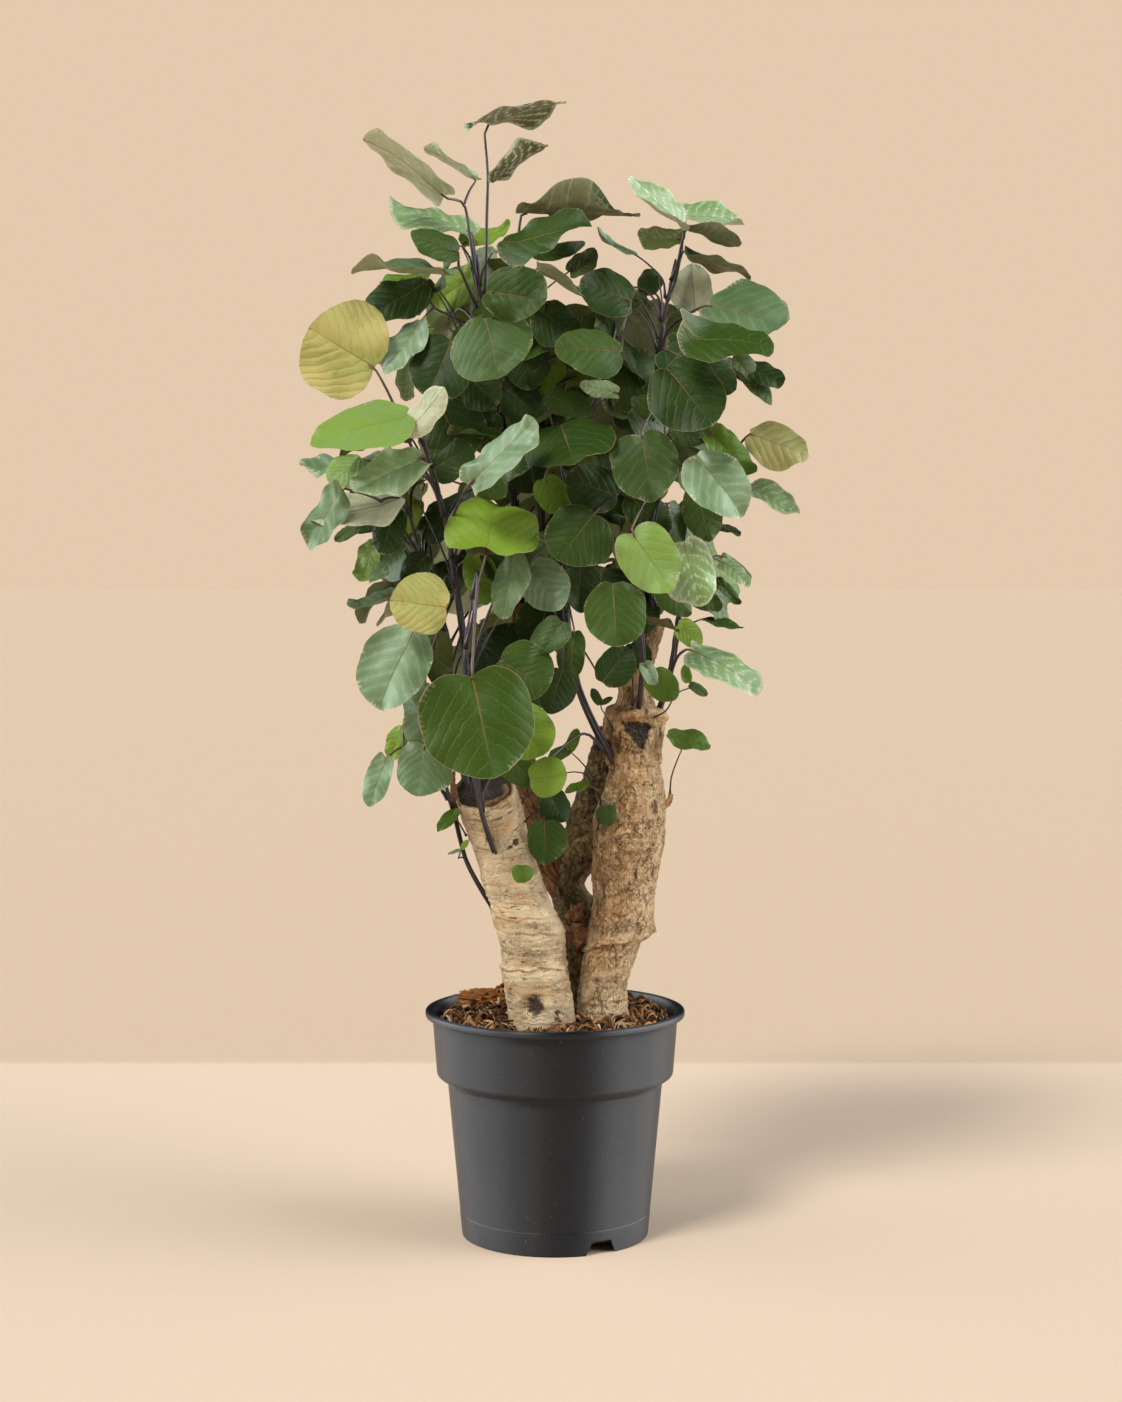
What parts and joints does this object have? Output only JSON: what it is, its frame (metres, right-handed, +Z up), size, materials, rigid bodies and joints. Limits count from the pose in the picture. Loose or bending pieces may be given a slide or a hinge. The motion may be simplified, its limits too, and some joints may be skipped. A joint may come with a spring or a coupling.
{
  "type": "potted aralia",
  "caption": "Bushy aralia house plant with round scalloped leaves on dark shoots from sawn bark stumps, standing in soil in a plain round nursery pot.",
  "frame": {"origin": "centre of the pot's foot, on the surface that it stands on", "axes": "+Z up along the pot's axis; the plant faces -Y; +X to its right seen from the front"},
  "size_m": [0.4511, 0.3177, 1.0342],
  "materials": {
    "pot": "satin moulded polypropylene, near black blue-grey, fine scuffs",
    "soil": "loose dark peat and coir with bark chips, pale fibres and white grains",
    "bark": "dry pale tan ringed bark, flaking, with sawn ends",
    "bark_rear": "darker reddish mossy bark",
    "stem": "smooth purple-black young shoot",
    "leaf_green": "leathery deep green leaf, half glossy above",
    "leaf_pale": "leathery leaf with a silvery sheen",
    "leaf_gold": "ageing yellow leaf"
  },
  "bodies": {
    "root": {"pot": "pot", "soil": "soil", "stump_left": "bark", "stump_right": "bark", "stump_rear": "bark_rear", "stem_left_main": "stem", "stem_left_outer": "stem", "stem_left_front": "stem", "stem_left_side": "stem", "stem_top_main": "stem", "stem_top_second": "stem", "stem_mid": "stem", "stem_right_main": "stem", "stem_right_front": "stem", "stem_right_outer": "stem", "leaf_top_1": "leaf_green", "leaf_top_2": "leaf_green", "leaf_top_3": "leaf_pale", "leaf_top_4": "leaf_green", "leaf_top_5": "leaf_green", "leaf_top_6": "leaf_green", "leaf_top_7": "leaf_green", "leaf_top_8": "leaf_green", "leaf_top_9": "leaf_green", "leaf_top_10": "leaf_green", "leaf_left_1": "leaf_gold", "leaf_left_2": "leaf_pale", "leaf_left_3": "leaf_pale", "leaf_left_4": "leaf_green", "leaf_left_5": "leaf_pale", "leaf_left_6": "leaf_green", "leaf_left_7": "leaf_gold", "leaf_left_8": "leaf_pale", "leaf_left_9": "leaf_pale", "leaf_left_10": "leaf_pale", "leaf_left_11": "leaf_green", "leaf_left_12": "leaf_green", "leaf_left_13": "leaf_green", "leaf_left_14": "leaf_green", "leaf_left_15": "leaf_green", "leaf_mid_1": "leaf_green", "leaf_mid_2": "leaf_green", "leaf_mid_3": "leaf_green", "leaf_mid_4": "leaf_green", "leaf_mid_5": "leaf_green", "leaf_right_1": "leaf_pale", "leaf_right_2": "leaf_green", "leaf_right_3": "leaf_green", "leaf_right_4": "leaf_green", "leaf_right_5": "leaf_green", "leaf_right_6": "leaf_green", "leaf_right_7": "leaf_pale", "leaf_right_8": "leaf_pale", "leaf_right_9": "leaf_gold", "leaf_right_10": "leaf_pale", "leaf_right_11": "leaf_pale", "leaf_low_1": "leaf_green", "leaf_back_1": "leaf_green", "leaf_back_2": "leaf_green", "leaf_back_3": "leaf_green"}
  },
  "joints": []
}
